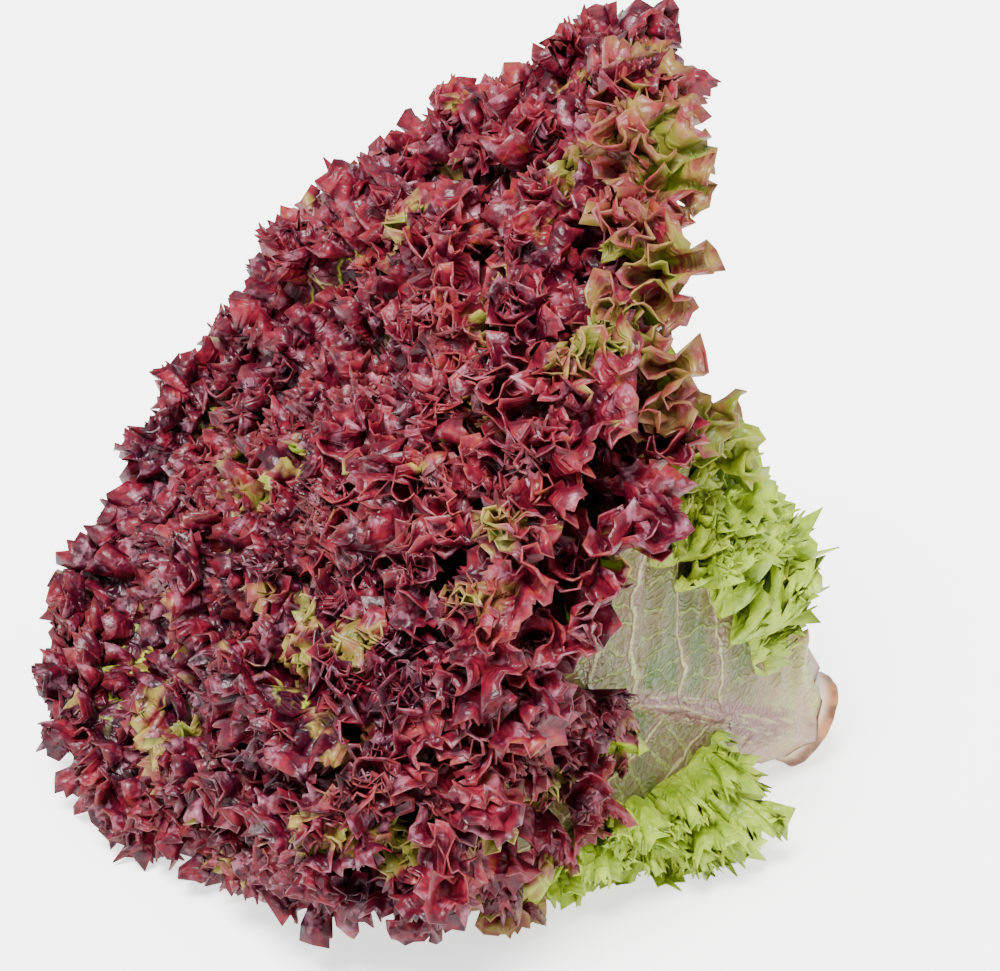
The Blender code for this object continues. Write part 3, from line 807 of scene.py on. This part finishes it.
def leaf_finish(name, green, lime, pale, red_shift):
    """Leaf skin: green at the rib, burgundy at the frill, with a net of pale veins."""
    look = Finish(name)
    at = look.place()
    flat = look.node("ShaderNodeUVMap", {"uv_map": "flat"})
    from_edge = look.attribute("from_edge")
    station = look.attribute("station")
    vein = look.attribute("vein")
    rib = look.attribute("rib")
    redness = look.attribute("redness")
    swathes = look.noise(at, 29.0, 3.0, 0.55)
    patches = look.noise(at, 38.0, 4.0, 0.6)
    mottle = look.noise(at, 130.0, 3.0, 0.6)
    grain = look.noise(at, 700.0)

    # The green skin: a net of fine veins, a lime edge, a dull tip and a pale pink base.
    warp = look.noise(flat, 60.0)
    bent = look.vector_maths("MULTIPLY_ADD", warp, (0.006, 0.006, 0.0), flat)
    cells = look.node(
        "ShaderNodeTexVoronoi", {"feature": "DISTANCE_TO_EDGE"}, {"Vector": bent, "Scale": 380.0}
    )
    net = 1.0 - look.clamped(cells, 0.0, 0.20)
    green_look = look.mixed(look.clamped(patches, 0.38, 0.62), green, lime)
    green_look = look.mixed(net * look.clamped(patches, 0.3, 0.7) * 0.40, green_look, pale)
    near_edge = 1.0 - look.clamped(from_edge + (mottle - 0.5) * 4.0, 5.0, 15.0)
    edge_look = look.mixed(look.clamped(mottle, 0.3, 0.7), LEAF_GREEN, LEAF_LIME)
    green_look = look.mixed(near_edge, green_look, edge_look)
    dull = look.mixed(look.clamped(mottle, 0.35, 0.65), OLIVE, BARK)
    green_look = look.mixed(look.clamped(station, 95.0, 140.0) * 0.85, green_look, dull)
    base_look = look.mixed(look.clamped(patches, 0.36, 0.56), LEAF_CREAM, BASE_PINK)
    at_base = 1.0 - look.clamped(station + (patches - 0.5) * 30.0, 10.0, 58.0)
    green_look = look.mixed(at_base * 0.85, green_look, base_look)

    # The red skin: darker towards the head's far end, partly its own deeper colour and partly painted shade,
    # darker down in the hollows as painted shade, with pale pink painted highlights and a thin coral edge.
    speckle = look.noise(at, 330.0, 2.0, 0.6)
    # Darker towards the head's far end: partly the deeper colour of the older leaves there, partly painted
    # shade that offsets the light from the left.
    far_end_tone_and_shade = look.clamped(0.0 - look.axis_of(at, 0), 0.100, 0.185)
    tone = mottle * 0.50 + patches * 0.25 + speckle * 0.25 + red_shift - far_end_tone_and_shade * 0.050
    # Painted shade: the tone darkens further in from the free edge, down into the hollows between the
    # frills.
    tone = tone - look.clamped(from_edge, 2.0, 16.0) * 0.07
    stops = ((0.36, PLUM), (0.43, MAROON), (0.50, BURGUNDY), (0.57, CRIMSON), (0.66, RUSSET))
    red_look = look.node("ShaderNodeValToRGB", {"stops": stops}, {0: tone})
    # Painted highlight: pale pink patches mixed into the red skin where the sheen would show.
    painted_highlight = look.clamped(look.noise(at, 190.0, 3.0, 0.6), 0.53, 0.68)
    red_look = look.mixed(painted_highlight * 0.40, red_look, PAINTED_HIGHLIGHT_PINK)
    thin_edge = 1.0 - look.clamped(from_edge, 0.05, 0.7)
    red_look = look.mixed(thin_edge * look.clamped(patches, 0.40, 0.65) * 0.35, red_look, CORAL)

    # The two meet in tan, straw and coral.
    turned = redness + (patches - 0.5) * 0.7 + (mottle - 0.5) * 0.5 - net * 0.10
    turned = turned - look.clamped(swathes, 0.53, 0.68) * 0.70
    turned_red = look.clamped(turned, 0.36, 0.66)
    tan_look = look.mixed(look.clamped(swathes, 0.5, 0.7), TAN, STRAW)
    warm = look.mixed(look.clamped(mottle, 0.35, 0.65), tan_look, CORAL)
    colour = look.mixed(look.clamped(turned, 0.15, 0.42), green_look, warm)
    colour = look.mixed(turned_red, colour, red_look)

    # The veins fork off the rib, and the rib is streaked.
    off_rib = look.maths("ABSOLUTE", look.axis_of(flat, 0))
    off_rib = off_rib + (warp - 0.5) * 0.005 + (patches - 0.5) * 0.022
    lengthwise = look.axis_of(flat, 1)
    main = look.maths("PINGPONG", lengthwise - off_rib * 0.95, 0.0125)
    side_vein = look.maths("PINGPONG", lengthwise * 0.45 + off_rib + (mottle - 0.5) * 0.004, 0.0042)
    on_blade = look.clamped(from_edge, 13.0, 22.0) * look.clamped(station, 30.0, 60.0)
    main_vein = (1.0 - look.clamped(main + off_rib * 0.012, 0.0005, 0.0019)) * on_blade
    vein_side = (1.0 - look.clamped(main + off_rib * 0.035, 0.0022, 0.0048)) * on_blade
    fine_vein = (1.0 - look.clamped(side_vein, 0.0002, 0.0010)) * on_blade
    colour = look.mixed(vein_side * (1.0 - turned_red) * 0.6, colour, RIB_MAUVE)
    colour = look.mixed(fine_vein * 0.60, colour, pale)
    colour = look.mixed(main_vein * (1.0 - turned_red * 0.5) * 0.85, colour, LEAF_CREAM)
    drawn_out = look.vector_maths("MULTIPLY", flat, (9.0, 1.0, 1.0))
    streaks = look.clamped(look.noise(drawn_out, 90.0), 0.50, 0.64)
    rib_look = look.mixed(streaks * 0.75, RIB_MAUVE, LEAF_CREAM)
    on_rib = look.clamped(rib, 0.0, 0.22) * look.clamped(station, 8.0, 26.0)
    colour = look.mixed(on_rib, colour, rib_look)
    torn_base = 1.0 - look.clamped(station + (mottle - 0.5) * 2.0, 0.3, 2.2)
    colour = look.mixed(torn_base, colour, BROWNED)

    height = mottle * 0.7 + grain * 0.22 + net * 0.30 + vein * 0.8 + main_vein * 1.3 + fine_vein * 0.4
    look.finish(
        {
            "Base Color": colour,
            "Roughness": 0.20 + mottle * 0.28,
            "Normal": look.bump(height, 0.0010, 0.85),
            "Specular IOR Level": 0.30,
        }
    )

    # Light shines through the blade in one of three colours.
    green_glow, red_glow, pale_glow = (
        look.node("ShaderNodeBsdfTranslucent", {}, {"Color": tint})
        for tint in (GREEN_GLOW, RED_GLOW, PALE_GLOW)
    )
    glow = look.mixed_shaders(turned_red, green_glow, red_glow)
    glow = look.mixed_shaders(at_base, glow, pale_glow)
    skin = Wire(look, look.shader.outputs[0])
    surface = look.mixed_shaders(GLOW_SHARE, skin, glow)
    look.feed(look.tree.nodes["Material Output"].inputs["Surface"], surface)
    return look.material


leaf_upper = leaf_finish("leaf_upper", LEAF_GREEN, LEAF_LIME, LEAF_LIME, 0.0)
leaf_under = leaf_finish("leaf_under", UNDER_GREEN, UNDER_MAUVE, UNDER_PALE, 0.03)


def marks_thickness(marks, row, column):
    """The blade's thickness there, as a share of Solidify's."""
    thick = BLADE_THICKNESS + marks["rib"][row, column] ** 1.5 * RIB_HEIGHT
    thick += marks["vein"][row, column] * VEIN_HEIGHT
    return min(1.0, thick / SOLIDIFY_THICKNESS)


def lay_sheet(bm, layers, sheet, material):
    """Adds a grid to a leaf's mesh and lays it out on the sheet's points."""
    points, flat_places, marks = sheet
    rows, columns = points.shape[0] - 1, points.shape[1] - 1
    made = bmesh.ops.create_grid(bm, x_segments=columns, y_segments=rows, size=0.5)["verts"]
    flat, weight = layers["flat"], layers["weight"]
    places = {}
    for vertex in made:
        column = round((vertex.co.x + 0.5) * columns)
        row = round((vertex.co.y + 0.5) * rows)
        vertex.co = points[row, column]
        for mark in marks:
            vertex[layers[mark]] = marks[mark][row, column]
        vertex[weight][0] = marks_thickness(marks, row, column)
        places[vertex] = flat_places[row, column]
    for face in {face for vertex in made for face in vertex.link_faces}:
        face.material_index = material
        for loop in face.loops:
            loop[flat].uv = places[loop.vert]
    return made


def add_lobes(bm, layers, leaf, line, lobes):
    """Lays out one line of lobes, from its first tall one to its last."""

    def lobes_at(across):
        return lobe_grid(leaf, line, lobes, across)

    across = np.linspace(0.0, 1.0, TRIAL_COLUMNS)
    tall = np.flatnonzero(lobes_at(across)[2]["from_edge"][0] > LEAST_LOBE)
    ends = (across[tall[0]], across[tall[-1]])
    sheet = lobes_at(even_columns(lobes_at, ends, LOBE_COLUMN_STEP))
    points = point_at(leaf, sheet[2]["station"][0] / 1000.0)
    lay_sheet(bm, layers, toothed(sheet, leaf.seed + 100 * line + 20, points), 1)


def make_leaf(index, name, node):
    """One leaf: its blade and its folded-over lobes are laid out, and given their thickness."""
    leaf = Leaf(index)
    bm = bmesh.new()
    layers = {mark: bm.verts.layers.float.new(mark) for mark in MARKS}
    layers["weight"] = bm.verts.layers.deform.verify()
    layers["flat"] = bm.loops.layers.uv.new("flat")

    def blade_at(across):
        return leaf_grid(leaf, across)

    blade = blade_at(even_columns(blade_at, (0.0, 1.0), COLUMN_STEP))
    blade = toothed(blade, leaf.seed + 20, point_at(leaf, blade[1][-1, :, 1]))
    made = lay_sheet(bm, layers, blade, 0)
    bmesh.ops.remove_doubles(bm, verts=made, dist=TIP_MERGED_WITHIN)
    bm.normal_update()
    face = bm.faces[:][0]
    from_cut = face.calc_center_median() - CUT_CENTRE
    if face.normal.dot(from_cut - from_cut.dot(AXIS) * AXIS) < 0.0:
        bmesh.ops.reverse_faces(bm, faces=bm.faces)
    for line, lobes in enumerate(lobes_of(index)):
        add_lobes(bm, layers, leaf, line, lobes)
    piece = add_piece(name, bm, [leaf_under, leaf_upper], node)
    piece.vertex_groups.new(name="thickness")
    thinned = piece.modifiers.new("fewer_faces", "DECIMATE")
    thinned.ratio = faces_kept(index)
    solidify = piece.modifiers.new("thickness", "SOLIDIFY")
    solidify.thickness = SOLIDIFY_THICKNESS
    solidify.offset = 1.0
    solidify.vertex_group = "thickness"
    solidify.material_offset = 1
    return piece


for index in range(LEAF_COUNT):
    make_leaf(index, f"frilled_leaf_{index + 1:02d}", f"leaf_{index + 1:02d}")


# The heart.
# The youngest leaves, still short and curled round each other at the middle of the crown. Each is made as
# the others are, and together they stand for the frame's one heart.

HEART_LEAVES = 4
for index in range(LEAF_COUNT, LEAF_COUNT + HEART_LEAVES):
    make_leaf(index, f"heart_leaf_{index - LEAF_COUNT + 1}", "heart")


# The floor, the light and the camera.
# The floor is a plain pale sheet that glows a little, so that it stays nearly white. One wide soft light
# falls from the left and the front, and the rest comes evenly from all round.

FLOOR_SIZE = 3.0
FLOOR_GLOW = 1.5
ROOM_LIGHT = 1.8
WHITE = (1.0, 1.0, 1.0)
floor_finish = Finish("pale_floor")
floor_finish.finish(
    {
        "Base Color": (0.95, 0.95, 0.95),
        "Roughness": 0.65,
        "Emission Color": WHITE,
        "Emission Strength": FLOOR_GLOW,
    }
)
bm = bmesh.new()
bmesh.ops.create_grid(bm, x_segments=1, y_segments=1, size=FLOOR_SIZE)
floor_mesh = bpy.data.meshes.new("floor")
bm.to_mesh(floor_mesh)
bm.free()
floor_mesh.materials.append(floor_finish.material)
floor = bpy.data.objects.new("floor", floor_mesh)
bpy.context.collection.objects.link(floor)

world = bpy.data.worlds.new("studio")
bpy.context.scene.world = world
world.use_nodes = True
background = world.node_tree.nodes["Background"]
background.inputs["Color"].default_value = (*WHITE, 1.0)
background.inputs["Strength"].default_value = ROOM_LIGHT


def soft_sun(name, towards, spread, strength):
    data = bpy.data.lights.new(name, "SUN")
    data.angle = spread
    data.energy = strength
    light = bpy.data.objects.new(name, data)
    light.rotation_euler = Vector(towards).to_track_quat("-Z", "Y").to_euler()
    bpy.context.collection.objects.link(light)


soft_sun("window", (0.40, 0.56, -1.00), math.radians(24.0), 12.0)

VIEW_AZIMUTH = math.radians(-20.0)
VIEW_ELEVATION = math.radians(22.0)
VIEW_DISTANCE = 1.13
VIEW_TARGET = Vector((-0.083, 0.0, 0.0955))
camera_data = bpy.data.cameras.new("camera")
camera_data.lens = 150.0
camera_data.sensor_width = 36.0
camera_data.clip_end = 50.0
camera = bpy.data.objects.new("camera", camera_data)
back = Vector(
    (
        math.sin(VIEW_AZIMUTH) * math.cos(VIEW_ELEVATION),
        -math.cos(VIEW_AZIMUTH) * math.cos(VIEW_ELEVATION),
        math.sin(VIEW_ELEVATION),
    )
)
camera.location = VIEW_TARGET + back * VIEW_DISTANCE
camera.rotation_euler = (-back).to_track_quat("-Z", "Y").to_euler()
bpy.context.collection.objects.link(camera)
bpy.context.scene.camera = camera
